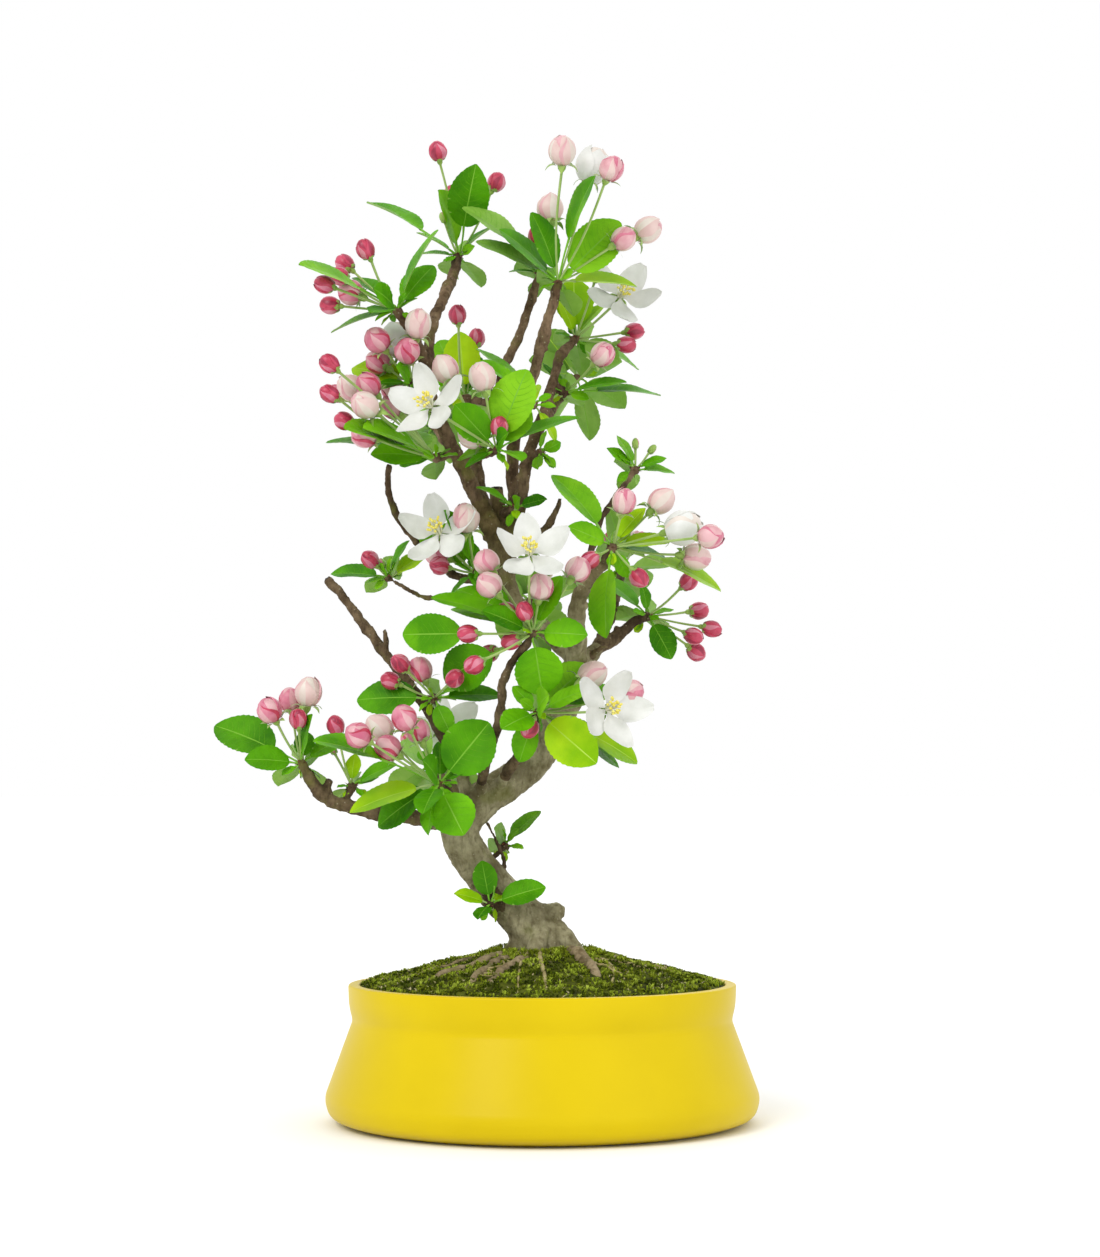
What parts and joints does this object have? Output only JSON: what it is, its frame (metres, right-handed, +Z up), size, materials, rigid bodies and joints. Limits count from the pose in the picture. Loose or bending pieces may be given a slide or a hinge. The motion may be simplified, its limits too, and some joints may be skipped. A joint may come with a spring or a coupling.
{
  "type": "apple bonsai in a pot",
  "caption": "Flowering apple bonsai: a winding trunk with a flared foot, thin boughs and leaf clusters with pink buds and white blossom, in a round yellow pot topped with moss.",
  "frame": {"origin": "centre of the pot's flat underside, which stands on the floor", "axes": "+Z up along the pot's axis; +X to the right and -Y towards the viewer in the picture"},
  "size_m": [0.2443, 0.194, 0.4411],
  "materials": {
    "glaze": "satin",
    "moss": "matte",
    "root_bark": "matte",
    "bark": "matte",
    "leaf": "satin"
  },
  "bodies": {
    "root": {"bough_back_centre": "bark", "bough_back_low_left": "bark", "bough_back_low_right": "bark", "bough_back_right": "bark", "bough_back_upper_left": "bark", "bough_back_upper_right": "bark", "bough_bare_cut": "bark", "bough_centre_back": "bark", "bough_inner_rise": "bark", "bough_left_back": "bark", "bough_left_front": "bark", "bough_left_low": "bark", "bough_left_middle": "bark", "bough_left_upper": "bark", "bough_low_front": "bark", "bough_lowest_left": "bark", "bough_right": "bark", "bough_right_front": "bark", "bough_right_low": "bark", "bough_right_thin": "bark", "bough_top_left": "bark", "foliage_back_centre": "leaf", "foliage_back_low_left": "leaf", "foliage_back_low_right": "leaf", "foliage_back_right": "leaf", "foliage_back_spur": "leaf", "foliage_back_upper_left": "leaf", "foliage_back_upper_right": "leaf", "foliage_bare_spur": "leaf", "foliage_centre": "leaf", "foliage_centre_spur": "leaf", "foliage_centre_upper": "leaf", "foliage_fan": "leaf", "foliage_far_left": "leaf", "foliage_left_centre": "leaf", "foliage_left_small": "leaf", "foliage_left_spur": "leaf", "foliage_left_upper": "leaf", "foliage_low_front": "leaf", "foliage_low_left": "leaf", "foliage_lowest_spur": "leaf", "foliage_right": "leaf", "foliage_right_low": "leaf", "foliage_right_small": "leaf", "foliage_right_spur": "leaf", "foliage_right_thin": "leaf", "foliage_right_upper": "leaf", "foliage_top_back": "leaf", "foliage_top_left": "leaf", "foliage_top_right": "leaf", "foliage_trunk_shoot": "leaf", "foliage_trunk_spur": "leaf", "foliage_umbel": "leaf", "moss_mound": "moss", "pot": "glaze", "surface_root_front": "root_bark", "surface_root_left": "root_bark", "surface_root_right": "root_bark", "trunk": "bark"}
  },
  "joints": []
}
